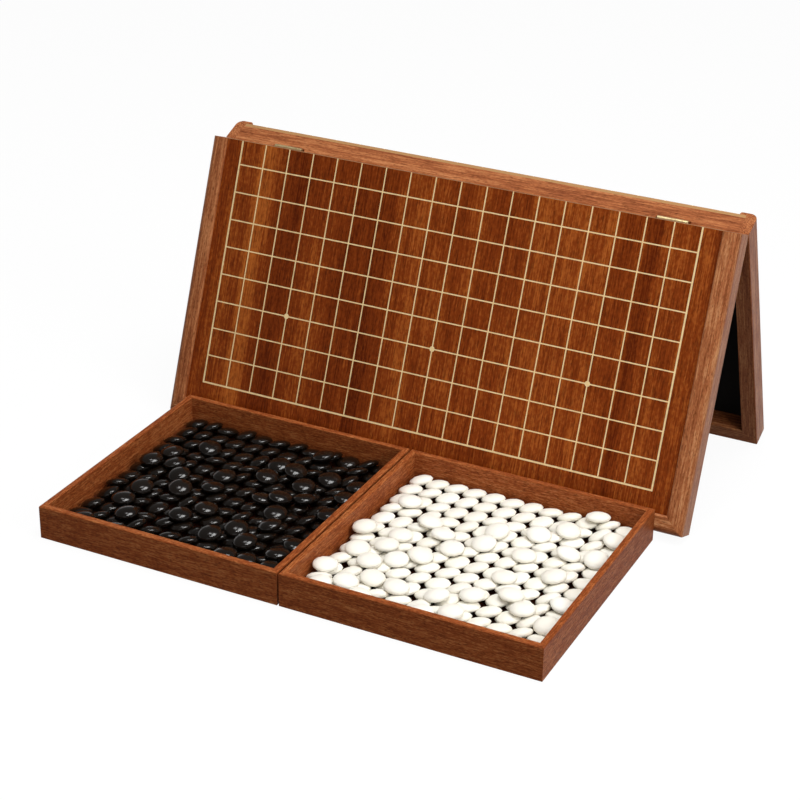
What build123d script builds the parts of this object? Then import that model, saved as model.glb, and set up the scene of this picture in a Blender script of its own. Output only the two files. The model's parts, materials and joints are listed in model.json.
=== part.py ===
from build123d import *

import os
import random
from math import cos, pi, radians, sin, sqrt

import numpy as np

# Folding go board standing open as a tent, with two trays of stones in front of it.
# Two hollow half cases share one hinge line. Their playing faces are outside, and the
# hollow sides face each other when the board is folded shut over the two trays.
# Every length is in millimetres.

# Board halves
board_width = 454.0
half_length = 232.0
tilt_deg = 68.9
rail_top = 23.2
panel_top = 20.6
panel_thick = 3.2
rail_width = 12.6
rail_lip = 1.4
rail_round = 6.0
lip_round = 1.8
edge_round = 0.8
panel_groove = 4.0
hinge_wall_thick = 5.2
rail_end_width = 8.2
lining_thick = 0.8

# Playing grid
column_count = 19
row_count = 9
side_margin = 29.0
far_margin = 30.0
nearest_row = 19.6
grid_shift = -0.8
line_width = 1.0
border_width = 1.4
inlay_depth = 0.4
star_columns = (3, 9, 15)
star_rows = (3,)
star_diameter = 4.4

# Hinges
hinge_inset = 60.0
barrel_length = 25.0
barrel_diameter = 4.0
knuckles = 5
knuckle_gap = 0.2
pin_diameter = 1.7
leaf_thick = 0.9
leaf_sink = 0.2
flange_height = 9.0
notch_end_gap = 1.6
screw_spacing = 14.0
screw_rise = 5.6
screw_length = 3.6
screw_diameter = 1.8
screw_head_diameter = 3.4
screw_head_depth = 0.9

# Trays
tray_side_room = 9.4
tray_end_room = 0.68
tray_height = 27.2
tray_wall = 5.1
tray_seam = 1.6
tray_floor_thick = 4.0
tray_floor_rise = 1.5
tray_groove = 2.2
tray_outer_round = 1.2
tray_inner_round = 0.6

# Stones
stone_diameter = 19.5
stone_thick = 7.6
stone_rim_thick = 0.5
black_count = 181
white_count = 180
stone_step = 15.7
row_step = 16.2
row_jitter = 0.7
loose_slide = 4.5
steepest_laid = radians(32)
steepest_loose = radians(16)
black_heap_reach = (150.0, 195.0)
black_heap_clear = 22.0
white_heap_reach = (85.0, 190.0)
white_heap_clear = 0.0

# Clearances
half_gap = 0.12
tray_gap = 0.3
fit_gap = 0.05
pin_gap = 0.05
notch_gap = 0.5
stone_gap = 0.08
stone_wall_gap = 0.2

# The grid keeps its margins, and the trays are sized to stow side by side in the shut case
column_pitch = (board_width - 2 * side_margin) / (column_count - 1)
first_row = half_length - far_margin
row_pitch = (first_row - nearest_row) / (row_count - 1)
hinge_spread = board_width - 2 * hinge_inset
opening_half = board_width / 2 - rail_width
wall_inner = half_gap + hinge_wall_thick
tray_width = opening_half - tray_seam / 2 - tray_side_room
tray_depth = half_length - rail_width - wall_inner - tray_end_room

# The lower rim edge of each half touches the table, and the overall depth is centred
tilt = radians(tilt_deg)
hinge_z = (half_length - edge_round) * sin(tilt) - (half_gap + edge_round) * cos(tilt) + edge_round
foot_reach = (half_length - rail_round) * cos(tilt) + (rail_top - rail_round) * sin(tilt) + rail_round
hinge_y = (tray_depth + tray_gap + 2 * foot_reach) / 2 - foot_reach
tray_back_y = hinge_y - foot_reach - tray_gap
panel_bottom = panel_top - panel_thick

FRONT = -1
REAR = 1
os.makedirs("parts", exist_ok=True)


def save(piece, label):
    """Label one finished piece and write it."""
    piece.part.label = label
    export_step(piece.part, f"parts/{label}.step")


def save_pair(piece, label):
    """Write a piece of the front half and its mirror image in the rear half."""
    save(piece, f"front_{label}")
    with BuildPart() as twin:
        mirror(piece.part, about=Plane.XZ.offset(-hinge_y))
    save(twin, f"rear_{label}")


def half_plane(side):
    """Rim plane of a half: x along the hinge, z out through the playing face."""
    return Plane(origin=(0, hinge_y, hinge_z), x_dir=(1, 0, 0), z_dir=(0, side * sin(tilt), cos(tilt)))


def block(side, x_span, q_span, r_span, mode=Mode.ADD):
    """Box in a half: x along the hinge, q away from it, r out of the rim plane."""
    with BuildSketch(half_plane(side).offset(r_span[0])) as foot:
        with Locations((sum(x_span) / 2, side * sum(q_span) / 2)):
            Rectangle(x_span[1] - x_span[0], q_span[1] - q_span[0])
    extrude(foot.sketch, amount=r_span[1] - r_span[0], mode=mode)


def rod(side, x_span, q, r, diameter, mode=Mode.ADD):
    """Round bar along the hinge direction."""
    centre = half_plane(side).from_local_coords(Vector(x_span[0], side * q, r))
    with BuildSketch(Plane(origin=centre, z_dir=(1, 0, 0))) as ring:
        Circle(diameter / 2)
    extrude(ring.sketch, amount=x_span[1] - x_span[0], mode=mode)


# Frame of a half

def frame_ring(side):
    """The three rails of a half in one piece, before the mitres are cut."""
    base = half_plane(side)
    out_of_face = Axis(base.origin, base.z_dir)
    from_hinge = Axis(base.origin, base.y_dir * side)
    with BuildPart() as ring:
        with BuildSketch(base.offset(half_gap)):
            with Locations((0, side * (half_gap + half_length) / 2)):
                Rectangle(board_width, half_length - half_gap)
        extrude(amount=rail_top - half_gap)
        top_edges = ring.faces().sort_by(out_of_face)[-1].edges().sort_by(from_hinge)[1:]
        fillet(top_edges, rail_round)
        far_face = ring.faces().filter_by(GeomType.PLANE).sort_by(from_hinge)[-1]
        corner_edges = far_face.edges().filter_by(out_of_face)
        rim_edges = ring.faces().sort_by(out_of_face)[0].edges().sort_by(from_hinge)[1:]
        fillet(corner_edges + rim_edges, edge_round)
        lip_half = opening_half - rail_lip
        open_end = half_length - rail_width
        block(side, (-lip_half, lip_half), (0, open_end - rail_lip), (panel_top, rail_top), Mode.SUBTRACT)
        lip_top = ring.faces().sort_by(out_of_face)[-1]
        lip_edges = [e for e in lip_top.edges().filter_by(GeomType.LINE)
                     if abs(base.to_local_coords(e.center()).X) < lip_half + 0.01
                     and abs(base.to_local_coords(e.center()).Y) < open_end]
        fillet(lip_edges, lip_round)
        block(side, (-opening_half, opening_half), (0, open_end), (0, panel_top), Mode.SUBTRACT)
        groove_half = opening_half + panel_groove
        groove_end = open_end + panel_groove
        block(side, (-groove_half, groove_half), (0, groove_end), (panel_bottom, panel_top), Mode.SUBTRACT)
        lap_half = board_width / 2 - rail_end_width
        block(side, (-lap_half, lap_half), (0, wall_inner), (0, panel_bottom), Mode.SUBTRACT)
    return ring.part


def mitre(side, hand):
    """Mitre plane through a far corner, with its normal towards the side rail."""
    base = half_plane(side)
    corner = base.from_local_coords(Vector(hand * board_width / 2, side * half_length, 0))
    return Plane(origin=corner, z_dir=base.x_dir * hand - base.y_dir * side)


def make_halves():
    """All wooden pieces, inlays and linings. The rear half mirrors the front one."""
    side = FRONT
    ring = frame_ring(side)
    base = half_plane(side)

    for hand, hand_name in ((-1, "left"), (1, "right")):
        with BuildPart() as side_rail:
            add(ring)
            split(bisect_by=mitre(side, hand), keep=Keep.TOP)
        save_pair(side_rail, f"{hand_name}_rail")

    with BuildPart() as far_rail:
        add(ring)
        split(bisect_by=mitre(side, -1), keep=Keep.BOTTOM)
        split(bisect_by=mitre(side, 1), keep=Keep.BOTTOM)
    save_pair(far_rail, "far_rail")

    # Inlaid lines run on to the fold, which is the tenth row
    row_places = [first_row - j * row_pitch for j in range(row_count)]
    column_places = [grid_shift + (i - (column_count - 1) / 2) * column_pitch for i in range(column_count)]
    outer_columns = (column_places[0], column_places[-1])
    grid_floor = base.offset(panel_top - inlay_depth)
    row_span = column_places[-1] - column_places[0] + border_width
    column_end = first_row + border_width / 2
    star_places = [(column_places[i], side * row_places[j]) for i in star_columns for j in star_rows]
    with BuildPart() as stars:
        with BuildSketch(grid_floor):
            with Locations(*star_places):
                Circle(star_diameter / 2)
        extrude(amount=inlay_depth)
    save_pair(stars, "star_points")

    with BuildPart() as grid:
        column_middle = side * (half_gap + column_end) / 2
        with BuildSketch(grid_floor):
            with Locations(*[(place, column_middle) for place in column_places[1:-1]]):
                Rectangle(line_width, column_end - half_gap)
            with Locations(*[(place, column_middle) for place in outer_columns]):
                Rectangle(border_width, column_end - half_gap)
            with Locations(*[(sum(outer_columns) / 2, side * place) for place in row_places[1:]]):
                Rectangle(row_span, line_width)
            with Locations((sum(outer_columns) / 2, side * first_row)):
                Rectangle(row_span, border_width)
            with Locations(*star_places):
                Circle(star_diameter / 2, mode=Mode.SUBTRACT)
        extrude(amount=inlay_depth)
    save_pair(grid, "grid_lines")

    panel_half = opening_half + panel_groove - fit_gap
    panel_end = half_length - rail_width + panel_groove - fit_gap
    with BuildPart() as panel:
        block(side, (-panel_half, panel_half), (half_gap, panel_end), (panel_bottom, panel_top))
        add([grid.part, stars.part], mode=Mode.SUBTRACT, clean=False)
    save_pair(panel, "panel")

    lining_half = opening_half - fit_gap
    with BuildPart() as lining:
        block(side, (-lining_half, lining_half), (wall_inner + fit_gap, half_length - rail_width - fit_gap),
              (panel_bottom - lining_thick, panel_bottom))
    save_pair(lining, "lining")

    # The hinge wall laps over the rail ends and is let in for the two hinges
    wall_half = board_width / 2 - rail_end_width - fit_gap
    leaf_top = half_gap + leaf_sink + leaf_thick
    notch = barrel_diameter / 2 + notch_gap
    half_barrel = barrel_length / 2
    with BuildPart() as wall:
        block(side, (-wall_half, wall_half), (half_gap, wall_inner), (half_gap, panel_bottom))
        for x in (-hinge_spread / 2, hinge_spread / 2):
            leaf_span = (x - half_barrel - fit_gap, x + half_barrel + fit_gap)
            notch_span = (x - half_barrel - notch_end_gap, x + half_barrel + notch_end_gap)
            block(side, notch_span, (0, notch), (0, notch), Mode.SUBTRACT)
            block(side, leaf_span, (0, wall_inner), (0, leaf_top), Mode.SUBTRACT)
            block(side, leaf_span, (wall_inner - leaf_thick, wall_inner),
                  (0, flange_height + fit_gap), Mode.SUBTRACT)
            for dx in (-screw_spacing / 2, screw_spacing / 2):
                with BuildSketch(screw_plane(side, x + dx)) as pilot:
                    Circle(screw_diameter / 2 + fit_gap)
                extrude(pilot.sketch, amount=-screw_length - fit_gap, mode=Mode.SUBTRACT)
    save_pair(wall, "hinge_wall")


# Hinges

def screw_plane(side, x):
    """Plane of a screw head on the inner face of the hinge wall, facing the hollow."""
    base = half_plane(side)
    head = base.from_local_coords(Vector(x, side * wall_inner, half_gap + screw_rise))
    return Plane(origin=head, x_dir=base.x_dir, z_dir=base.y_dir * side)


def make_leaf(side, x, owned, label):
    """Brass leaf: knuckles, a web let into the rim and a flange down the wall."""
    x_start = x - barrel_length / 2
    x_end = x + barrel_length / 2
    step = barrel_length / knuckles
    rise = half_gap + leaf_sink
    web = (rise, rise + leaf_thick)
    clear_of_barrel = barrel_diameter / 2 + knuckle_gap
    with BuildPart() as leaf:
        block(side, (x_start, x_end), (clear_of_barrel, wall_inner), web)
        block(side, (x_start, x_end), (wall_inner - leaf_thick, wall_inner), (rise, flange_height))
        for k in owned:
            span = (x_start + k * step + knuckle_gap / 2, x_start + (k + 1) * step - knuckle_gap / 2)
            rod(side, span, 0, 0, barrel_diameter)
            block(side, span, (barrel_diameter * 0.38, clear_of_barrel), web)
        rod(side, (x_start, x_end), 0, 0, pin_diameter + 2 * pin_gap, Mode.SUBTRACT)
        for dx in (-screw_spacing / 2, screw_spacing / 2):
            with BuildSketch(screw_plane(side, x + dx)) as mouth:
                Circle(screw_head_diameter / 2 + fit_gap)
            with BuildSketch(screw_plane(side, x + dx).offset(-screw_head_depth)) as throat:
                Circle(screw_diameter / 2 + fit_gap)
            loft([mouth.sketch.face(), throat.sketch.face()], mode=Mode.SUBTRACT)
    save(leaf, label)


def make_screws():
    """Four countersunk screws in each half."""
    side = FRONT
    with BuildPart() as screws:
        for x in (-hinge_spread / 2, hinge_spread / 2):
            for dx in (-screw_spacing / 2, screw_spacing / 2):
                face = screw_plane(side, x + dx)
                profile = Plane(origin=face.origin, x_dir=face.x_dir, z_dir=face.y_dir)
                head_r = screw_head_diameter / 2
                shank_r = screw_diameter / 2
                with BuildSketch(profile) as half_section:
                    with BuildLine():
                        Polyline((0, 0), (head_r, 0), (shank_r, screw_head_depth),
                                 (shank_r, screw_length - shank_r), (0, screw_length), close=True)
                    make_face()
                revolve(half_section.sketch, Axis(face.origin, face.z_dir))
    save_pair(screws, "hinge_screws")


# Trays

def make_wall(corners, inner_side, label):
    """Mitred tray wall from its four plan corners, outer two first."""
    outer_mid = Vector((corners[0][0] + corners[1][0]) / 2, (corners[0][1] + corners[1][1]) / 2, tray_height)
    inner_mid = Vector((corners[2][0] + corners[3][0]) / 2, (corners[2][1] + corners[3][1]) / 2, tray_height)
    with BuildPart() as wall:
        with BuildSketch():
            with BuildLine():
                Polyline(*corners, close=True)
            make_face()
        extrude(amount=tray_height)
        long_edges = wall.faces().sort_by(Axis.Z)[-1].edges()
        fillet(long_edges.sort_by_distance(outer_mid)[0], tray_outer_round)
        long_edges = wall.faces().sort_by(Axis.Z)[-1].edges()
        fillet(long_edges.sort_by_distance(inner_mid)[0], tray_inner_round)
        with BuildSketch(Plane.XY.offset(tray_floor_rise)) as housing:
            with Locations(inner_side[0]):
                Rectangle(*inner_side[1])
        extrude(housing.sketch, amount=tray_floor_thick, mode=Mode.SUBTRACT)
    save(wall, label)


def make_tray(x_left, name):
    """Floor and four mitred walls of one tray."""
    x_right = x_left + tray_width
    y_front = tray_back_y - tray_depth
    y_back = tray_back_y
    w = tray_wall
    centre = ((x_left + x_right) / 2, (y_front + y_back) / 2)
    housing = (centre, (tray_width - 2 * w + 2 * tray_groove, tray_depth - 2 * w + 2 * tray_groove))
    front_left, front_right = (x_left, y_front), (x_right, y_front)
    back_left, back_right = (x_left, y_back), (x_right, y_back)
    in_front_left, in_front_right = (x_left + w, y_front + w), (x_right - w, y_front + w)
    in_back_left, in_back_right = (x_left + w, y_back - w), (x_right - w, y_back - w)
    make_wall([front_left, front_right, in_front_right, in_front_left], housing, f"{name}_front_wall")
    make_wall([back_right, back_left, in_back_left, in_back_right], housing, f"{name}_back_wall")
    make_wall([back_left, front_left, in_front_left, in_back_left], housing, f"{name}_left_wall")
    make_wall([front_right, back_right, in_back_right, in_front_right], housing, f"{name}_right_wall")
    with BuildPart() as floor:
        with BuildSketch(Plane.XY.offset(tray_floor_rise)):
            with Locations(centre):
                Rectangle(housing[1][0] - 2 * fit_gap, housing[1][1] - 2 * fit_gap)
        extrude(amount=tray_floor_thick)
    save(floor, f"{name}_floor")


# Stones

# Each stone is a lens: the common part of two balls, with a narrow blunted rim
dome = (stone_thick - stone_rim_thick) / 2
ball_radius = ((stone_diameter / 2) ** 2 + dome ** 2) / (2 * dome)
ball_offset = ball_radius - stone_thick / 2
sharp_radius = sqrt(ball_radius ** 2 - ball_offset ** 2)
ring_angles = np.linspace(0, 2 * pi, 72, endpoint=False)


def rim_points(normal):
    """Points on the sharp rim of a lens about its own centre."""
    across = np.cross(normal, (0.0, 1.0, 0.0))
    across /= np.linalg.norm(across)
    along = np.cross(normal, across)
    return sharp_radius * (np.outer(np.cos(ring_angles), across) + np.outer(np.sin(ring_angles), along))


def lens_span(points, ball_a, ball_b):
    """Lowest and highest z of a lens on vertical lines, with nan beside the lens."""
    chord_a = ball_radius ** 2 - ((points - ball_a[..., :2]) ** 2).sum(-1)
    chord_b = ball_radius ** 2 - ((points - ball_b[..., :2]) ** 2).sum(-1)
    reach_a = np.sqrt(np.maximum(chord_a, 0))
    reach_b = np.sqrt(np.maximum(chord_b, 0))
    low = np.maximum(ball_a[..., 2] - reach_a, ball_b[..., 2] - reach_b)
    high = np.minimum(ball_a[..., 2] + reach_a, ball_b[..., 2] + reach_b)
    inside = (high > low) & (chord_a > 0) & (chord_b > 0)
    return np.where(inside, low, np.nan), np.where(inside, high, np.nan)


def rest_height(x, y, normal, floor_z, centres, normals, rims):
    """Height at which a lens lowered at x, y comes to rest on the floor or on other stones."""
    if normal[2] > ball_offset / ball_radius:
        height = floor_z + ball_radius - ball_offset * normal[2]
    else:
        height = floor_z + sharp_radius * sqrt(1 - normal[2] ** 2)
    near = np.hypot(centres[:, 0] - x, centres[:, 1] - y) < 2 * sharp_radius
    if near.any():
        below = centres[near]
        tilts = normals[near]
        edges = rims[near]
        here = np.array((x, y, 0.0))
        upper_ball = here + normal * ball_offset
        lower_ball = here - normal * ball_offset
        # Face on face: the two balls touch, if the touching point lies on both faces
        ball_low = below - tilts * ball_offset
        ball_high = below + tilts * ball_offset
        offset_xy = upper_ball[:2] - ball_low[:, :2]
        chord = np.maximum(4 * ball_radius ** 2 - (offset_xy ** 2).sum(1), 0)
        lift = ball_low[:, 2] + np.sqrt(chord) - upper_ball[2]
        touch = (ball_low + upper_ball + np.outer(lift, (0, 0, 1))) / 2
        own = touch - lower_ball - np.outer(lift, (0, 0, 1))
        on_both = (np.linalg.norm(own, axis=1) < ball_radius) \
            & (np.linalg.norm(touch - ball_high, axis=1) < ball_radius)
        # Own rim on the stones below, and their rims under this stone
        own_rim = here + rim_points(normal)
        _, tops = lens_span(own_rim[None, :, :2], ball_low[:, None, :], ball_high[:, None, :])
        bottoms, _ = lens_span(edges[:, :, :2], upper_ball, lower_ball)
        lifts = np.concatenate((np.where(on_both, lift, np.nan), (tops - own_rim[:, 2]).ravel(),
                                (edges[:, :, 2] - bottoms).ravel()))
        if not np.isnan(lifts).all():
            height = max(height, np.nanmax(lifts))
    return height + stone_gap


def settle(starts, laid, row_play, x_span, y_span, floor_z, seed):
    """Drop stones one by one. Each slides and tips to the lowest place that it finds."""
    rng = random.Random(seed)
    centres = np.zeros((0, 3))
    normals = np.zeros((0, 3))
    rims = np.zeros((0, len(ring_angles), 3))
    for number, (x, y) in enumerate(starts):
        normal = np.array((0.0, 0.0, 1.0))
        best = None
        slide = row_play if number < laid else loose_slide
        steepest = steepest_laid if number < laid else steepest_loose
        for attempt in range(48):
            shrink = (2.5, 1.0, 0.3)[attempt // 16]
            if best is None:
                nx, ny, tip = x, y, normal
            else:
                nx = best[0] + rng.gauss(0, slide * shrink)
                ny = best[1] + rng.gauss(0, slide * shrink)
                tip = best[3] + np.array((rng.gauss(0, 0.12), rng.gauss(0, 0.12), 0)) * shrink
                tip = tip / np.linalg.norm(tip)
                if tip[2] < cos(steepest):
                    continue
            reach_x = sharp_radius * sqrt(1 - tip[0] ** 2) + stone_wall_gap
            reach_y = sharp_radius * sqrt(1 - tip[1] ** 2) + stone_wall_gap
            nx = min(max(nx, x_span[0] + reach_x), x_span[1] - reach_x)
            ny = min(max(ny, y_span[0] + reach_y), y_span[1] - reach_y)
            nz = rest_height(nx, ny, tip, floor_z, centres, normals, rims)
            if best is None or nz < best[2]:
                best = (nx, ny, nz, tip)
        place = np.array(best[:3])
        centres = np.vstack((centres, place))
        normals = np.vstack((normals, best[3]))
        rims = np.concatenate((rims, (place + rim_points(best[3]))[None]))
    return centres, normals


def even_places(low, high, step):
    """Places spread evenly between two limits, at about the step apart."""
    count = max(2, int((high - low) / step) + 1)
    return [low + (high - low) * i / (count - 1) for i in range(count)]


def lapped_rows(x_span, y_span, rng):
    """Rows of stones that lap over each other, laid from the front right corner."""
    reach = sharp_radius + stone_wall_gap
    places = []
    for y in even_places(y_span[0] + reach, y_span[1] - reach, row_step):
        for x in reversed(even_places(x_span[0] + reach, x_span[1] - reach, stone_step)):
            nudge_x = rng.uniform(-row_jitter, row_jitter)
            nudge_y = rng.uniform(-row_jitter, row_jitter)
            places.append((x + nudge_x, y + nudge_y))
    return places


def make_stones(name, x_left, count, seed, heap_reach, heap_clear, row_play):
    """All stones of one tray as separate solids in one group.

    The rows come first. The stones left over are heaped on them, as far back from the front wall
    as heap_reach gives at the left and at the right wall, and clear of the left wall.
    """
    x_span = (x_left + tray_wall, x_left + tray_width - tray_wall)
    y_span = (tray_back_y - tray_depth + tray_wall, tray_back_y - tray_wall)
    floor_z = tray_floor_rise + tray_floor_thick
    rng = random.Random(seed)
    starts = lapped_rows(x_span, y_span, rng)[:count]
    laid = len(starts)
    while len(starts) < count:
        x = rng.uniform(x_span[0] + heap_clear, x_span[1])
        share = (x - x_span[0]) / (x_span[1] - x_span[0])
        reach = heap_reach[0] + (heap_reach[1] - heap_reach[0]) * share
        starts.append((x, y_span[0] + rng.random() * min(reach, y_span[1] - y_span[0])))
    centres, normals = settle(starts, laid, row_play, x_span, y_span, floor_z, seed)
    rim = stone_rim_thick / 2
    with BuildPart() as stone:
        with BuildSketch(Plane.XZ):
            with BuildLine():
                top = ThreePointArc((0, stone_thick / 2), lens_point(0.5), (stone_diameter / 2, rim))
                side = Line(top @ 1, (stone_diameter / 2, -rim))
                under = ThreePointArc(side @ 1, (lens_point(0.5)[0], -lens_point(0.5)[1]),
                                      (0, -stone_thick / 2))
                Line(under @ 1, top @ 0)
            make_face()
        revolve(axis=Axis.Z)
    solid = stone.part.solid()
    placed = [solid.moved(Plane(origin=tuple(c), z_dir=tuple(n)).location)
              for c, n in zip(centres, normals)]
    group = Compound(children=placed, label=name)
    export_step(group, f"parts/{name}.step")
    print(name, len(placed), "top", round(float(centres[:, 2].max()), 1))


def lens_point(share):
    """Point on the upper face at a share of the stone's radius."""
    r = share * stone_diameter / 2
    return (r, sqrt(ball_radius ** 2 - r ** 2) - ball_offset)


make_halves()
make_screws()

for hinge_x, hinge_name in ((-hinge_spread / 2, "left"), (hinge_spread / 2, "right")):
    make_leaf(FRONT, hinge_x, range(0, knuckles, 2), f"{hinge_name}_hinge_front_leaf")
    make_leaf(REAR, hinge_x, range(1, knuckles, 2), f"{hinge_name}_hinge_rear_leaf")
    with BuildPart() as hinge_pin:
        rod(FRONT, (hinge_x - barrel_length / 2, hinge_x + barrel_length / 2), 0, 0, pin_diameter)
    save(hinge_pin, f"{hinge_name}_hinge_pin")

black_tray_left = -tray_seam / 2 - tray_width
white_tray_left = tray_seam / 2
make_tray(black_tray_left, "black_tray")
make_tray(white_tray_left, "white_tray")
make_stones("black_stones", black_tray_left, black_count, 3, black_heap_reach, black_heap_clear, 0.15)
make_stones("white_stones", white_tray_left, white_count, 4, white_heap_reach, white_heap_clear, 0.0)
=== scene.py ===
"""Dresses the folding go board: wood, brass, inlay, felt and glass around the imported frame.

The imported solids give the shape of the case, the hinges and the trays. The classes below
give them their finishes and build the stones, the felt linings and the slotted screws.
Lengths are in metres in the CAD frame: +X to the right, +Y to the back, +Z up.
"""

import json
import logging
import math
import random
from dataclasses import dataclass, replace
from enum import Enum
from typing import Any

import bmesh
import bpy
from mathutils import Euler, Matrix, Vector


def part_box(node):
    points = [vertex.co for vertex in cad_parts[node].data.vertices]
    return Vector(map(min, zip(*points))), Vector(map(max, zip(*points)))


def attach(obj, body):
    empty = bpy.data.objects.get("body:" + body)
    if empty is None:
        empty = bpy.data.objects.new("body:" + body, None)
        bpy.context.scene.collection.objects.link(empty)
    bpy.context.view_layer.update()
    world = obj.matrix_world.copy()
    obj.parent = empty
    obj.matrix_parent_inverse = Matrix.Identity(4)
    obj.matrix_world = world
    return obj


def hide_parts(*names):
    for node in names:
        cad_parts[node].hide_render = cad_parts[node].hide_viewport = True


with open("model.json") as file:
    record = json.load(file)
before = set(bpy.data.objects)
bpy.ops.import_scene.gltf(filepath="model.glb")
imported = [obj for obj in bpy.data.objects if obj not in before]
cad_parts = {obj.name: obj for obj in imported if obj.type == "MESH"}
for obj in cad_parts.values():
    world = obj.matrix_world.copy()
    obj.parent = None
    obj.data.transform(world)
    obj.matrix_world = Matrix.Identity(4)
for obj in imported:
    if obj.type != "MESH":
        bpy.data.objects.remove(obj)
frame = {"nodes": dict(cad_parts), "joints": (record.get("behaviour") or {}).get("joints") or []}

MM = 0.001
# Vertices nearer to each other than this are one
MERGE_DISTANCE = 0.001 * MM
# Lacquer and soda glass bend light alike
GLASSY_IOR = 1.5
Socket = bpy.types.NodeSocket
log = logging.getLogger("go_board")


# Shared helpers


def linear(hex_colour: str) -> tuple[float, float, float, float]:
    """Turn an sRGB hex colour into the linear values that a shader socket takes.

    Args:
        hex_colour: six hex digits after a hash sign.

    Returns:
        Red, green, blue and an alpha of one.
    """
    channels = [int(hex_colour[i:i + 2], 16) / 255 for i in (1, 3, 5)]
    red, green, blue = (c / 12.92 if c <= 0.04045 else ((c + 0.055) / 1.055) ** 2.4 for c in channels)
    return red, green, blue, 1.0


def add_node(tree: bpy.types.NodeTree, kind: str, inputs: dict[str | int, Any] | None = None,
             **settings: Any) -> bpy.types.Node:
    """Add a shader node with its settings, and fill or link its inputs.

    Args:
        tree: node tree that takes the node.
        kind: type name of the node without its ShaderNode start.
        inputs: value or output socket for each input, by its name or number.
        settings: properties of the node itself.

    Returns:
        The new node.
    """
    made = tree.nodes.new("ShaderNode" + kind)
    for name, value in settings.items():
        setattr(made, name, value)
    for key, value in (inputs or {}).items():
        if isinstance(value, Socket):
            tree.links.new(value, made.inputs[key])
        else:
            made.inputs[key].default_value = value
    return made


def blank_tree(owner: bpy.types.Material | bpy.types.World) -> bpy.types.NodeTree:
    """Switch nodes on and empty the tree.

    Args:
        owner: the material or world that has the tree.

    Returns:
        The empty node tree.
    """
    owner.use_nodes = True
    owner.node_tree.nodes.clear()
    return owner.node_tree


def finished_piece(shape: bmesh.types.BMesh, name: str, material: bpy.types.Material,
                   smooth: bool = True) -> bpy.types.Object:
    """Turn a bmesh into an object at the origin with one material.

    Args:
        shape: the finished mesh, which is freed.
        name: name of the new piece.
        material: its finish.
        smooth: whether its faces are shaded smooth.

    Returns:
        The new object, linked to the scene.
    """
    for face in shape.faces:
        face.smooth = smooth
    mesh = bpy.data.meshes.new(name)
    shape.to_mesh(mesh)
    shape.free()
    mesh.materials.append(material)
    piece = bpy.data.objects.new(name, mesh)
    bpy.context.scene.collection.objects.link(piece)
    return piece


def dress(node_name: str, material: bpy.types.Material) -> None:
    """Give a CAD node its finish through its object's material slots.

    Args:
        node_name: name of the node.
        material: its finish.
    """
    for material_slot in frame["nodes"][node_name].material_slots:
        material_slot.material = material
    log.info("dressed %s with %s", node_name, material.name)


# Finishes


@dataclass(frozen=True)
class GrainLayer:
    """One noise of a wood's figure, stretched along the grain, and its share of the tone."""

    across_mm: float
    along_mm: float
    detail: float
    low: float
    high: float
    share: float


@dataclass(frozen=True)
class Stripe:
    """A lighter or darker stripe along the grain, at a set distance from the board's middle."""

    place_mm: float
    width_mm: float
    tone: float


@dataclass(frozen=True)
class Board:
    """Where a piece of wood was cut: its place, its turn, its run of grain and its stripes.

    The pattern's own Y runs along the grain, X across the face and Z through the board.
    """

    origin: Vector
    turn: Matrix
    cut: float
    stripes: tuple[Stripe, ...] = ()

    def euler(self) -> Euler:
        """Turn of the pattern as the angles that a Mapping node takes."""
        return self.turn.to_euler("XYZ")


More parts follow.
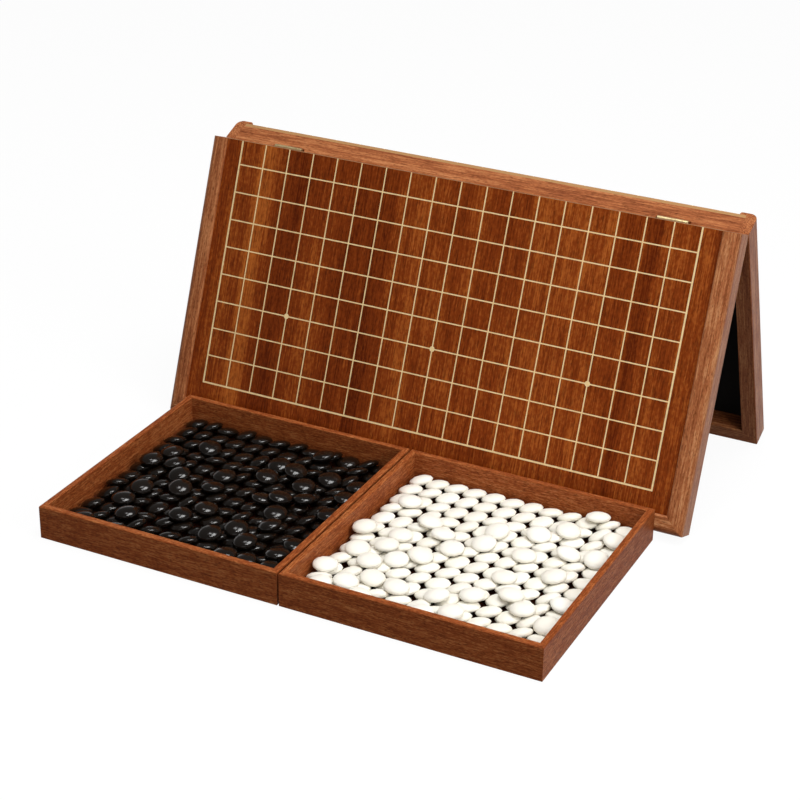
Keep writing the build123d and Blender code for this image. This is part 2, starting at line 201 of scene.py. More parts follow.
@dataclass(frozen=True)
class WoodFinish:
    """Reddish brown hardwood under thin satin lacquer.

    Its layers give slow bands, ribbons and fine streaks along the grain, and its pores are
    short dark ticks. The lacquer keeps only a soft sheen, so the colour stays deep.
    """

    name: str
    dark: str
    base: str
    light: str
    pore: str
    layers: tuple[GrainLayer, ...]
    pores: GrainLayer
    roughness: float
    shine: float
    # Colour of a painted highlight on the panel's narrow edge along the fold
    edge: str | None = None
    edge_depth_mm: float = 0.3
    grain_roughness: float = 0.55
    grain_waviness: float = 0.3
    stripe_wander_mm: float = 7.0
    stripe_wander_length_mm: float = 130.0
    stripe_core: float = 0.2
    stripe_fade: float = 0.75
    gloss_spread: float = 0.05
    pore_depth: float = 0.6
    relief: float = 0.2
    relief_mm: float = 0.1

    # How far the next cut moves the pattern across, along and through the board
    CUT_STEP = (17.3, 5.1, 29.7)

    def patterned(self, tree: bpy.types.NodeTree, place: Socket, board: Board,
                  layer: GrainLayer) -> Socket:
        """Stretched noise, eased to run from nought to one between two noise levels.

        Args:
            tree: the material's node tree.
            place: coordinates in the board's own frame.
            board: the board, whose cut moves the pattern.
            layer: sizes and levels of the noise.

        Returns:
            The eased value.
        """
        scale = (1 / (layer.across_mm * MM), 1 / (layer.along_mm * MM), 1 / (layer.across_mm * MM))
        shift = tuple(board.cut * step for step in self.CUT_STEP)
        stretched = add_node(tree, "Mapping", {"Vector": place, "Scale": scale, "Location": shift})
        noise = add_node(tree, "TexNoise", {
            "Vector": stretched.outputs[0], "Scale": 1.0, "Detail": layer.detail,
            "Roughness": self.grain_roughness, "Distortion": self.grain_waviness})
        eased = add_node(tree, "MapRange", {"Value": noise.outputs[0], "From Min": layer.low,
                                            "From Max": layer.high}, interpolation_type="SMOOTHSTEP")
        return eased.outputs[0]

    def striped(self, tree: bpy.types.NodeTree, place: Socket, board: Board, tone: Socket) -> Socket:
        """Add the board's stripes, figure and painted shade alike, which wander a little along the grain.

        Args:
            tree: the material's node tree.
            place: coordinates in the board's own frame.
            board: the board with its stripes.
            tone: tone of the wood without them.

        Returns:
            The tone with the stripes.
        """
        parts = add_node(tree, "SeparateXYZ", {0: place})
        wave = add_node(tree, "TexNoise", {"W": parts.outputs["Y"], "Detail": 2.0,
                                           "Scale": 1 / (self.stripe_wander_length_mm * MM)},
                        noise_dimensions="1D")
        centred = add_node(tree, "Math", {0: wave.outputs[0], 1: 0.5}, operation="SUBTRACT")
        across = add_node(tree, "Math", {0: centred.outputs[0], 1: self.stripe_wander_mm * MM,
                                         2: parts.outputs["X"]}, operation="MULTIPLY_ADD")
        for stripe in board.stripes:
            aside = add_node(tree, "Math", {0: across.outputs[0], 1: stripe.place_mm * MM},
                             operation="SUBTRACT")
            distance = add_node(tree, "Math", {0: aside.outputs[0]}, operation="ABSOLUTE")
            width = stripe.width_mm * MM
            added = add_node(tree, "MapRange", {
                "Value": distance.outputs[0], "From Min": self.stripe_core * width,
                "From Max": self.stripe_fade * width, "To Min": stripe.tone, "To Max": 0.0},
                interpolation_type="SMOOTHSTEP")
            tone = add_node(tree, "Math", {0: tone, 1: added.outputs[0]}, operation="ADD").outputs[0]
        return tone

    def material(self, label: str, board: Board) -> bpy.types.Material:
        """Make the finish for one board.

        Args:
            label: name of the piece, which ends the material's name.
            board: where the piece was cut from the wood.

        Returns:
            The material.
        """
        made = bpy.data.materials.new(f"{self.name}_{label}")
        tree = blank_tree(made)
        coordinates = add_node(tree, "TexCoord")
        place = add_node(tree, "Mapping", {
            "Vector": coordinates.outputs["Object"], "Location": board.origin,
            "Rotation": board.euler()}, vector_type="TEXTURE").outputs[0]
        values = [self.patterned(tree, place, board, layer) for layer in self.layers]
        pores = self.patterned(tree, place, board, self.pores)
        tone = add_node(tree, "Value").outputs[0]
        tone.default_value = 0.0
        for layer, value in zip(self.layers, values):
            tone = add_node(tree, "Math", {0: value, 1: layer.share, 2: tone},
                            operation="MULTIPLY_ADD").outputs[0]
        if board.stripes:
            tone = self.striped(tree, place, board, tone)

        lower = add_node(tree, "MapRange", {"Value": tone, "From Min": 0.0, "From Max": 0.5})
        upper = add_node(tree, "MapRange", {"Value": tone, "From Min": 0.5, "From Max": 1.0})
        deep = add_node(tree, "Mix", {0: lower.outputs[0], 6: linear(self.dark), 7: linear(self.base)},
                        data_type="RGBA")
        bright = add_node(tree, "Mix", {0: upper.outputs[0], 6: deep.outputs[2], 7: linear(self.light)},
                          data_type="RGBA")
        ticks = add_node(tree, "Math", {0: pores, 1: self.pores.share}, operation="MULTIPLY")
        colour = add_node(tree, "Mix", {0: ticks.outputs[0], 6: bright.outputs[2], 7: linear(self.pore)},
                          data_type="RGBA").outputs[2]
        # A lighter colour along the fold edge: painted highlight
        if self.edge is not None:
            colour = self.highlighted_fold_edge(tree, place, colour)

        gloss = add_node(tree, "MapRange", {"Value": values[-1],
                                            "To Min": self.roughness + self.gloss_spread,
                                            "To Max": self.roughness - self.gloss_spread})
        hollow = add_node(tree, "Math", {0: pores, 1: -self.pore_depth, 2: values[-1]},
                          operation="MULTIPLY_ADD")
        bump = add_node(tree, "Bump", {"Height": hollow.outputs[0], "Strength": self.relief,
                                       "Distance": self.relief_mm * MM})
        surface = add_node(tree, "BsdfPrincipled", {
            "Base Color": colour, "Roughness": gloss.outputs[0], "Normal": bump.outputs[0],
            "IOR": GLASSY_IOR, "Specular IOR Level": self.shine})
        add_node(tree, "OutputMaterial", {"Surface": surface.outputs[0]})
        return made

    def highlighted_fold_edge(self, tree: bpy.types.NodeTree, place: Socket, colour: Socket) -> Socket:
        """Paint a highlight on the narrow edge of the panel that lies along the fold.

        Args:
            tree: the material's node tree.
            place: coordinates in the panel's own frame, whose Y is nought at the fold.
            colour: colour of the rest of the panel.

        Returns:
            The colour with the light edge.
        """
        parts = add_node(tree, "SeparateXYZ", {0: place})
        away = add_node(tree, "Math", {0: parts.outputs["Y"]}, operation="ABSOLUTE")
        at_edge = add_node(tree, "Math", {0: away.outputs[0], 1: self.edge_depth_mm * MM},
                           operation="LESS_THAN")
        return add_node(tree, "Mix", {0: at_edge.outputs[0], 6: colour, 7: linear(self.edge)},
                        data_type="RGBA").outputs[2]


@dataclass(frozen=True)
class InlayFinish:
    """Thin strips of pale maple, let in flush and lacquered with the panel."""

    name: str = "maple_inlay"
    base: str = "#e6cb96"
    dark: str = "#cdab73"
    fleck_mm: float = 3.0
    fleck_share: float = 0.6
    roughness: float = 0.45
    shine: float = 0.2

    def material(self) -> bpy.types.Material:
        """Make the inlay's material.

        Returns:
            The material of the lines and star points.
        """
        made = bpy.data.materials.new(self.name)
        tree = blank_tree(made)
        coordinates = add_node(tree, "TexCoord")
        flecks = add_node(tree, "TexNoise", {"Vector": coordinates.outputs["Object"],
                                             "Scale": 1 / (self.fleck_mm * MM), "Detail": 3.0})
        share = add_node(tree, "MapRange", {"Value": flecks.outputs[0], "From Min": 0.45, "From Max": 0.75,
                                            "To Max": self.fleck_share})
        colour = add_node(tree, "Mix", {0: share.outputs[0], 6: linear(self.base), 7: linear(self.dark)},
                          data_type="RGBA")
        surface = add_node(tree, "BsdfPrincipled", {
            "Base Color": colour.outputs[2], "IOR": GLASSY_IOR, "Roughness": self.roughness,
            "Specular IOR Level": self.shine})
        add_node(tree, "OutputMaterial", {"Surface": surface.outputs[0]})
        return made


@dataclass(frozen=True)
class BrassFinish:
    """Drawn brass, polished and lightly scratched: a warm metal with soft reflections."""

    name: str = "polished_brass"
    base: str = "#ead3a0"
    worn: str = "#c7a56a"
    scratch_mm: float = 0.4
    scratch_length_mm: float = 25.0
    scratch_relief: float = 0.15
    scratch_depth_mm: float = 0.02
    tarnish_mm: float = 5.556
    tarnish_share: float = 0.7
    roughness: float = 0.42
    polished_by: float = 0.08
    dulled_by: float = 0.12

    def material(self) -> bpy.types.Material:
        """Make the brass of the leaves, pins and screws.

        Returns:
            The material.
        """
        made = bpy.data.materials.new(self.name)
        tree = blank_tree(made)
        coordinates = add_node(tree, "TexCoord")
        fine = 1 / (self.scratch_mm * MM)
        along = add_node(tree, "Mapping", {"Vector": coordinates.outputs["Object"],
                                           "Scale": (1 / (self.scratch_length_mm * MM), fine, fine)})
        scratches = add_node(tree, "TexNoise", {"Vector": along.outputs[0], "Scale": 1.0, "Detail": 3.0})
        tarnish = add_node(tree, "TexNoise", {"Vector": coordinates.outputs["Object"], "Detail": 2.0,
                                              "Scale": 1 / (self.tarnish_mm * MM)})
        share = add_node(tree, "MapRange", {"Value": tarnish.outputs[0], "From Min": 0.5, "From Max": 0.75,
                                            "To Max": self.tarnish_share})
        colour = add_node(tree, "Mix", {0: share.outputs[0], 6: linear(self.base), 7: linear(self.worn)},
                          data_type="RGBA")
        gloss = add_node(tree, "MapRange", {"Value": scratches.outputs[0],
                                            "To Min": self.roughness - self.polished_by,
                                            "To Max": self.roughness + self.dulled_by})
        bump = add_node(tree, "Bump", {"Height": scratches.outputs[0], "Strength": self.scratch_relief,
                                       "Distance": self.scratch_depth_mm * MM})
        surface = add_node(tree, "BsdfPrincipled", {
            "Base Color": colour.outputs[2], "Metallic": 1.0, "Roughness": gloss.outputs[0],
            "Normal": bump.outputs[0]})
        add_node(tree, "OutputMaterial", {"Surface": surface.outputs[0]})
        return made


@dataclass(frozen=True)
class FeltFinish:
    """Pressed black wool felt: no gloss, short fibres and a faint nap."""

    name: str = "black_felt"
    base: str = "#0a0706"
    fibre: str = "#18130f"
    fibre_mm: float = 0.9
    nap_mm: float = 0.2
    nap_relief: float = 0.4
    nap_sheen: float = 0.08
    roughness: float = 0.95
    shine: float = 0.1

    def material(self) -> bpy.types.Material:
        """Make the felt of the linings.

        Returns:
            The material.
        """
        made = bpy.data.materials.new(self.name)
        tree = blank_tree(made)
        coordinates = add_node(tree, "TexCoord")
        fibres = add_node(tree, "TexNoise", {"Vector": coordinates.outputs["Object"],
                                             "Scale": 1 / (self.fibre_mm * MM), "Detail": 4.0,
                                             "Roughness": 0.7, "Distortion": 1.2})
        colour = add_node(tree, "Mix", {0: fibres.outputs[0], 6: linear(self.base), 7: linear(self.fibre)},
                          data_type="RGBA")
        bump = add_node(tree, "Bump", {"Height": fibres.outputs[0], "Strength": self.nap_relief,
                                       "Distance": self.nap_mm * MM})
        surface = add_node(tree, "BsdfPrincipled", {
            "Base Color": colour.outputs[2], "Roughness": self.roughness, "Normal": bump.outputs[0],
            "Sheen Weight": self.nap_sheen, "Sheen Roughness": 0.5, "Specular IOR Level": self.shine})
        add_node(tree, "OutputMaterial", {"Surface": surface.outputs[0]})
        return made


@dataclass(frozen=True)
class GlassFinish:
    """Solid coloured glass, pressed and fire polished.

    Black stones mirror the lamps as small bright spots. White ones have a satin surface, with
    only a faint sheen over their ivory tone.
    """

    name: str
    base: str
    shade: str
    roughness: float
    shine: float
    mottle_mm: float = 6.0
    mottle_share: float = 0.5
    pit_mm: float = 0.8
    pit_depth_mm: float = 0.02
    pit_relief: float = 0.05
    polished_by: float = 0.04
    dulled_by: float = 0.06

    def material(self) -> bpy.types.Material:
        """Make the glass. Each stone's own tone is read from its mesh.

        Returns:
            The material of one colour of stones.
        """
        made = bpy.data.materials.new(self.name)
        tree = blank_tree(made)
        coordinates = add_node(tree, "TexCoord")
        tone = add_node(tree, "Attribute", attribute_name=StoneHeap.TONE)
        mottle = add_node(tree, "TexNoise", {"Vector": coordinates.outputs["Object"],
                                             "Scale": 1 / (self.mottle_mm * MM), "Detail": 2.0})
        share = add_node(tree, "Math", {0: mottle.outputs[0], 1: self.mottle_share,
                                        2: tone.outputs["Fac"]}, operation="MULTIPLY_ADD")
        colour = add_node(tree, "Mix", {0: share.outputs[0], 6: linear(self.base), 7: linear(self.shade)},
                          data_type="RGBA", clamp_factor=True)
        pits = add_node(tree, "TexNoise", {"Vector": coordinates.outputs["Object"],
                                           "Scale": 1 / (self.pit_mm * MM), "Detail": 2.0})
        gloss = add_node(tree, "MapRange", {"Value": pits.outputs[0],
                                            "To Min": self.roughness - self.polished_by,
                                            "To Max": self.roughness + self.dulled_by})
        bump = add_node(tree, "Bump", {"Height": pits.outputs[0], "Strength": self.pit_relief,
                                       "Distance": self.pit_depth_mm * MM})
        surface = add_node(tree, "BsdfPrincipled", {
            "Base Color": colour.outputs[2], "IOR": GLASSY_IOR, "Roughness": gloss.outputs[0],
            "Normal": bump.outputs[0], "Specular IOR Level": self.shine})
        add_node(tree, "OutputMaterial", {"Surface": surface.outputs[0]})
        return made


# Figured veneer under matt lacquer: deep red brown with golden ribbons and fine dark pores, and a painted
# highlight along the fold edge
PANEL_WOOD = WoodFinish(
    "mottled_panel_veneer", dark="#531b02", base="#7d350d", light="#ad5e24", pore="#321204",
    layers=(GrainLayer(30.0, 700.0, 1.0, 0.3, 0.7, 0.2), GrainLayer(9.0, 130.0, 2.0, 0.3, 0.7, 0.22),
            GrainLayer(2.0, 3.6, 3.0, 0.34, 0.66, 0.22), GrainLayer(1.1, 26.0, 4.0, 0.32, 0.68, 0.38)),
    pores=GrainLayer(0.8, 8.0, 1.0, 0.54, 0.68, 0.42), roughness=0.42, shine=0.06, edge="#a67d52")
# Planed solid wood under satin lacquer: lighter than the panel, with short straight flecks
RAIL_WOOD = WoodFinish(
    "straight_grained_rail_wood", dark="#74391c", base="#a3623b", light="#c99264", pore="#54270f",
    layers=(GrainLayer(6.0, 200.0, 2.0, 0.3, 0.7, 0.3), GrainLayer(1.1, 2.4, 2.0, 0.32, 0.68, 0.2),
            GrainLayer(1.1, 24.0, 3.0, 0.32, 0.68, 0.5)),
    pores=GrainLayer(0.7, 4.5, 1.0, 0.55, 0.7, 0.6), roughness=0.38, shine=0.08)
# The same wood, redder and darker: partly a redder tone of its own, partly painted shade for the left
# rails, the hinge walls and the whole rear half
RED_AND_SHADED_RAIL_WOOD = replace(RAIL_WOOD, name="reddish_shaded_rail_wood",
                        dark="#68321a", base="#985833", light="#be7f52")
# Planed solid wood under matt lacquer: redder than the rails, with shorter flecks
TRAY_WOOD = WoodFinish(
    "straight_grained_tray_wood", dark="#6a2e13", base="#934c25", light="#ba7544", pore="#4b200b",
    layers=(GrainLayer(8.0, 200.0, 2.0, 0.3, 0.7, 0.25), GrainLayer(1.1, 2.4, 2.0, 0.32, 0.68, 0.25),
            GrainLayer(0.9, 11.0, 3.0, 0.32, 0.68, 0.5)),
    pores=GrainLayer(0.6, 3.0, 1.0, 0.52, 0.68, 0.6), roughness=0.48, shine=0.06)
# Thin board of the tray floors; its dark red brown is painted shade for the gaps between the stones
SHADED_FLOOR_WOOD = WoodFinish(
    "shaded_tray_floor_veneer", dark="#2f1208", base="#4a1e0d", light="#5e2d16", pore="#260e07",
    layers=(GrainLayer(14.0, 300.0, 2.0, 0.3, 0.7, 0.5), GrainLayer(2.0, 40.0, 3.0, 0.3, 0.7, 0.5)),
    pores=GrainLayer(0.8, 6.0, 1.0, 0.56, 0.72, 0.4), roughness=0.5, shine=0.2)

# Golden and dark stripes of the front panel, at their distances from the middle of the fold. The first,
# broad dark one over the left side is painted shade; the rest are the veneer's own figure.
FRONT_PANEL_STRIPES = (
    Stripe(-120.0, 150.0, -0.08), Stripe(-173.0, 16.0, 0.44), Stripe(-146.0, 22.0, -0.16),
    Stripe(-62.0, 15.0, -0.2),
    Stripe(126.0, 8.0, 0.2), Stripe(160.0, 12.0, -0.24))


# The case


class Half(Enum):
    """The halves of the board. The value is the way that each one leans."""

    FRONT = 1
    REAR = -1

    @property
    def label(self) -> str:
        """Start of the names of this half's nodes."""
        return self.name.lower()

    @property
    def body(self) -> str:
        """Body that this half's pieces ride on."""
        return f"{self.label}_half"


@dataclass
class BoardHalf:
    """One hollow half case with its inlaid playing field and its felt lining.

    The tilt is in radians, and the turns of the felt's faint waves in radians per metre.
    """

    half: Half
    tilt: float = math.radians(68.9)
    board_width: float = 454 * MM
    half_length: float = 232 * MM
    rail_width: float = 12.6 * MM
    wall_inner: float = 5.32 * MM
    panel_bottom: float = 17.4 * MM
    lining_thick: float = 0.8 * MM
    fit_gap: float = 0.05 * MM
    felt_squares_across: int = 72
    felt_squares_along: int = 36
    felt_wave: float = 0.12 * MM
    felt_wave_turn_across: float = 61.0
    felt_wave_turn_along: float = 73.0
    felt_wave_start: float = 1.3
    first_cut: float = 1.0
    cuts_between_halves: float = 8.0

    @property
    def hinge_point(self) -> Vector:
        """A point on the fold's axis."""
        fold = next(joint for joint in frame["joints"] if joint["name"] == "fold")
        return Vector(fold["pos_m"])

    @property
    def lean(self) -> Matrix:
        """Turn of the half: its own X along the fold, Z out through the playing face."""
        return Matrix.Rotation(self.half.value * self.tilt, 3, "X")

    def to_scene(self) -> Matrix:
        """Matrix from the half's own frame to the scene."""
        return Matrix.Translation(self.hinge_point) @ self.lean.to_4x4()

    def board(self, cut: float, along_fold: bool, stripes: tuple[Stripe, ...] = ()) -> Board:
        """Board for a piece of this half.

        Args:
            cut: number that moves the pattern, so that no two pieces match.
            along_fold: whether the grain runs along the fold, and not away from it.
            stripes: stripes of its own.

        Returns:
            The board in the scene's frame.
        """
        spin = Matrix.Rotation(-math.pi / 2, 3, "Z") if along_fold else Matrix.Identity(3)
        return Board(self.hinge_point, self.lean @ spin, cut, stripes)

    def dress_wood(self) -> None:
        """Finish the rails, the hinge wall and the panel."""
        in_front = self.half is Half.FRONT
        # The left rails, the hinge walls and the whole rear half take the darker wood, partly as painted
        # shade
        lighter_wood = RAIL_WOOD if in_front else RED_AND_SHADED_RAIL_WOOD
        cut = self.first_cut if in_front else self.first_cut + self.cuts_between_halves
        pieces = (("left_rail", RED_AND_SHADED_RAIL_WOOD, False), ("right_rail", lighter_wood, False),
                  ("far_rail", lighter_wood, True), ("hinge_wall", RED_AND_SHADED_RAIL_WOOD, True))
        for number, (piece, wood, along_fold) in enumerate(pieces):
            name = f"{self.half.label}_{piece}"
            dress(name, wood.material(name, self.board(cut + number, along_fold)))
        stripes = FRONT_PANEL_STRIPES if in_front else ()
        name = f"{self.half.label}_panel"
        dress(name, PANEL_WOOD.material(name, self.board(cut + len(pieces), False, stripes)))

    def dress_inlay(self, maple: bpy.types.Material) -> None:
        """Finish the inlaid lines and star points."""
        dress(f"{self.half.label}_grid_lines", maple)
        dress(f"{self.half.label}_star_points", maple)

    def line_with_felt(self, felt: bpy.types.Material) -> bpy.types.Object:
        """Stretch felt over the inner side of the panel.

        Args:
            felt: material of the sheet.

        Returns:
            The sheet, which stands for the plain lining.
        """
        width = self.board_width - 2 * self.rail_width - 2 * self.fit_gap
        near = self.wall_inner + self.fit_gap
        length = self.half_length - self.rail_width - self.fit_gap - near
        away = -self.half.value
        shape = bmesh.new()
        bmesh.ops.create_grid(shape, x_segments=self.felt_squares_across,
                              y_segments=self.felt_squares_along, size=0.5)
        bmesh.ops.scale(shape, vec=(width, length, 1), verts=shape.verts)
        top = self.panel_bottom - self.lining_thick
        bmesh.ops.translate(shape, vec=(0, away * (near + length / 2), top), verts=shape.verts)
        for vert in shape.verts:
            swell = math.sin(vert.co.x * self.felt_wave_turn_across) \
                * math.sin(vert.co.y * self.felt_wave_turn_along + self.felt_wave_start)
            vert.co.z += self.felt_wave * (1 + swell) / 2
        bmesh.ops.recalc_face_normals(shape, faces=shape.faces)
        bmesh.ops.transform(shape, matrix=self.to_scene(), verts=shape.verts)
        sheet = finished_piece(shape, f"{self.half.label}_felt_lining", felt)
        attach(sheet, self.half.body)
        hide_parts(f"{self.half.label}_lining")
        return sheet


@dataclass
class Hinges:
    """Two brass butt hinges with five knuckles each, and their slotted screws.

    No two slots stand alike: the first turn and the turn from screw to screw are in radians.
    """

    screw_spacing: float = 14 * MM
    screw_rise: float = 5.72 * MM
    screw_length: float = 3.6 * MM
    head_diameter: float = 3.4 * MM
    head_depth: float = 0.9 * MM
    shank_diameter: float = 1.8 * MM
    slot_width: float = 0.6 * MM
    slot_depth: float = 0.35 * MM
    sides: int = 24
    level_within: float = 0.01 * MM
    cut_within: float = 0.0001 * MM
    first_turn: float = 0.7
    turn_step: float = 2.1

    def dress_leaves(self, brass: bpy.types.Material) -> None:
        """Finish the leaves and the pins.

        Args:
            brass: their finish.
        """
        for hand in ("left", "right"):
            for part in ("front_leaf", "rear_leaf", "pin"):
                dress(f"{hand}_hinge_{part}", brass)

    def screw_shape(self) -> bmesh.types.BMesh:
        """Shape one countersunk screw with its head at the origin and its shank down Z.

        Returns:
            A closed mesh with a slot across its head.
        """
        head, shank = self.head_diameter / 2, self.shank_diameter / 2
        profile = ((head, 0), (shank, -self.head_depth), (shank, shank - self.screw_length))
        shape = bmesh.new()
        points = [shape.verts.new((radius, 0, z)) for radius, z in profile]
        points.append(shape.verts.new((0, 0, -self.screw_length)))
        outline = [shape.edges.new(pair) for pair in zip(points, points[1:])]
        bmesh.ops.spin(shape, geom=points + outline, cent=(0, 0, 0), axis=(0, 0, 1), angle=2 * math.pi,
                       steps=self.sides, use_merge=True)
        bmesh.ops.remove_doubles(shape, verts=shape.verts, dist=MERGE_DISTANCE)
        rim = [edge for edge in shape.edges if edge.is_boundary]
        bmesh.ops.contextual_create(shape, geom=rim)
        for side in (-1, 1):
            flat = self.head_faces(shape)
            geometry = flat + [edge for face in flat for edge in face.edges] \
                + [vert for face in flat for vert in face.verts]
            bmesh.ops.bisect_plane(shape, geom=list(dict.fromkeys(geometry)), dist=self.cut_within,
                                   plane_co=(0, side * self.slot_width / 2, 0), plane_no=(0, 1, 0))
        slot = [face for face in self.head_faces(shape)
                if abs(face.calc_center_median().y) < self.slot_width / 4]
        deepened = bmesh.ops.extrude_face_region(shape, geom=slot)
        bmesh.ops.delete(shape, geom=slot, context="FACES_ONLY")
        moved = [item for item in deepened["geom"] if isinstance(item, bmesh.types.BMVert)]
        bmesh.ops.translate(shape, vec=(0, 0, -self.slot_depth), verts=moved)
        bmesh.ops.recalc_face_normals(shape, faces=shape.faces)
        return shape

    def head_faces(self, shape: bmesh.types.BMesh) -> list[bmesh.types.BMFace]:
        """Faces of a screw's flat head, at the height of nought."""
        return [face for face in shape.faces
                if all(abs(vert.co.z) < self.level_within for vert in face.verts)]

    def drive_screws(self, board: BoardHalf, brass: bpy.types.Material) -> bpy.types.Object:
        """Set four screws through the leaves of one half.

        Args:
            board: the half that holds them.
            brass: their finish.

        Returns:
            The screws as one piece.
        """
        label = board.half.label
        away = -board.half.value
        template = bpy.data.meshes.new(f"{label}_screw_template")
        single = self.screw_shape()
        single.to_mesh(template)
        single.free()
        shape = bmesh.new()
        facing = Matrix.Rotation(-away * math.pi / 2, 4, "X")
        for number, hand in enumerate(("left", "right")):
            low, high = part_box(f"{hand}_hinge_pin")
            for side in (-0.5, 0.5):
                start = len(shape.verts)
                shape.from_mesh(template)
                shape.verts.ensure_lookup_table()
                head = Vector(((low.x + high.x) / 2 + side * self.screw_spacing,
                               away * board.wall_inner, self.screw_rise))
                driven = Matrix.Rotation(self.first_turn + number + self.turn_step * side, 4, "Z")
                bmesh.ops.transform(shape, matrix=Matrix.Translation(head) @ facing @ driven,
                                    verts=shape.verts[start:])
        bpy.data.meshes.remove(template)
        bmesh.ops.transform(shape, matrix=board.to_scene(), verts=shape.verts)
        screws = finished_piece(shape, f"{label}_slotted_screws", brass, smooth=False)
        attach(screws, board.half.body)
        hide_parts(f"{label}_hinge_screws")
        return screws


# Trays and stones


@dataclass
class Tray:
    """Open tray of four mitred walls round a grooved-in floor."""

    name: str
    cut: float

    def dress_wood(self) -> None:
        """Finish the walls with their grain along them, and the floor."""
        corner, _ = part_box(f"{self.name}_front_wall")
        across = Matrix.Rotation(-math.pi / 2, 3, "Z")
        runs = {"front_wall": across, "back_wall": across,
                "left_wall": Matrix.Identity(3), "right_wall": Matrix.Identity(3)}
        for number, (wall, turn) in enumerate(runs.items()):
            board = Board(corner, turn, self.cut + number)
            dress(f"{self.name}_{wall}", TRAY_WOOD.material(f"{self.name}_{wall}", board))
        # The floor's dark colour is painted shade for the gaps between the stones
        board = Board(corner, across, self.cut + len(runs) + 1)
        dress(f"{self.name}_floor", SHADED_FLOOR_WOOD.material(f"{self.name}_floor", board))


@dataclass
class StoneHeap:
    """All stones of one colour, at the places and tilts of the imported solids.

    The rings are shares of the stone's radius, at which its mesh has vertices. A fullness of
    a half gives the dome the profile of an ellipse, and one gives it a parabola's.
    """

    body: str
    slot: str
    glass: GlassFinish
    diameter: float = 19.5 * MM
    thick: float = 7.6 * MM
    fullness: float = 0.52
    sides: int = 14
    rings: tuple[float, ...] = (0.0, 0.55, 0.9)
    tone_spread: tuple[float, float] = (-0.15, 0.45)
    axis_rounds: int = 12

    TONE = "stone_tone"

    def lens_shape(self) -> bmesh.types.BMesh:
        """Spin one stone about Z: two shallow domes that meet in a narrow rounded rim.

        Returns:
            A closed mesh of a few dozen faces, centred on the origin.
        """
        arc = [(share * self.diameter / 2, self.thick / 2 * (1 - share ** 2) ** self.fullness)
               for share in self.rings]
        profile = arc + [(self.diameter / 2, 0.0)] + [(radius, -z) for radius, z in reversed(arc)]
        shape = bmesh.new()
        points = [shape.verts.new((radius, 0, z)) for radius, z in profile]
        outline = [shape.edges.new(pair) for pair in zip(points, points[1:])]
        bmesh.ops.spin(shape, geom=points + outline, cent=(0, 0, 0), axis=(0, 0, 1), angle=2 * math.pi,
                       steps=self.sides, use_merge=True)
        bmesh.ops.remove_doubles(shape, verts=shape.verts, dist=MERGE_DISTANCE)
        bmesh.ops.recalc_face_normals(shape, faces=shape.faces)
        return shape

    def packed_places(self) -> list[Matrix]:
        """Find each packed stone's centre and axis.

        Returns:
            One matrix for each stone, from the lens's own frame to the scene.
        """
        packed = bmesh.new()
        packed.from_mesh(frame["nodes"][self.body].data)
        bmesh.ops.remove_doubles(packed, verts=packed.verts, dist=MERGE_DISTANCE)
        places = []
        waiting = set(packed.faces)
        while waiting:
            shell = {waiting.pop()}
            edge_of_shell = list(shell)
            while edge_of_shell:
                face = edge_of_shell.pop()
                beside = {other for edge in face.edges for other in edge.link_faces} - shell
                shell |= beside
                edge_of_shell.extend(beside)
            waiting -= shell
            places.append(self.lens_place(shell))
        packed.free()
        return sorted(places, key=lambda place: tuple(place.translation))

    def lens_place(self, shell: set[bmesh.types.BMFace]) -> Matrix:
        """Centre and axis of one stone from its faces.

        Args:
            shell: the closed faces of one packed stone.

        Returns:
            The stone's place.
        """
        faces = [(face.calc_area(), face.calc_center_median(), face.normal) for face in shell]
        surface = sum(area for area, _, _ in faces)
        centre = sum((area * middle for area, middle, _ in faces), Vector()) / surface
        # The flatter a lens, the more of its area faces along its axis
        axis = Vector((0, 0, 1))
        for _ in range(self.axis_rounds):
            pull = sum((area * normal * normal.dot(axis) for area, _, normal in faces), Vector())
            axis = pull.normalized()
        tilt = Vector((0, 0, 1)).rotation_difference(axis).to_matrix()
        return Matrix.Translation(centre) @ tilt.to_4x4()

    def build(self) -> bpy.types.Object:
        """Lay a lens at each place, with a tone of its own.

        Returns:
            The heap as one piece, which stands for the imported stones.
        """
        shades = random.Random(self.body)
        template = bpy.data.meshes.new("stone_template")
        single = self.lens_shape()
        single.to_mesh(template)
        single.free()
        shape = bmesh.new()
        tone = shape.verts.layers.float.new(self.TONE)
        for place in self.packed_places():
            start = len(shape.verts)
            shape.from_mesh(template)
            shape.verts.ensure_lookup_table()
            fresh = shape.verts[start:]
            bmesh.ops.transform(shape, matrix=place, verts=fresh)
            own_tone = shades.uniform(*self.tone_spread)
            for vert in fresh:
                vert[tone] = own_tone
        bpy.data.meshes.remove(template)
        heap = finished_piece(shape, f"{self.body}_heap", self.glass.material())
        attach(heap, self.body)
        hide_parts(self.body)
        return heap


# Studio


@dataclass(frozen=True)
class Lamp:
    """A square softbox: its place, aim, side, power and whether polished surfaces mirror it."""

    name: str
    place: tuple[float, float, float]
    aim: tuple[float, float, float]
    side: float
    watts: float
    mirrored: bool = True

    def hang(self) -> None:
        """Put the lamp in the scene."""
        light = bpy.data.lights.new(self.name, "AREA")
        light.shape = "SQUARE"
        light.size = self.side
        light.energy = self.watts
        holder = bpy.data.objects.new(self.name, light)
        holder.visible_glossy = self.mirrored
        aim = Vector(self.aim) - Vector(self.place)
        turn = aim.to_track_quat("-Z", "Y").to_matrix()
        holder.matrix_world = Matrix.Translation(self.place) @ turn.to_4x4()
        bpy.context.scene.collection.objects.link(holder)


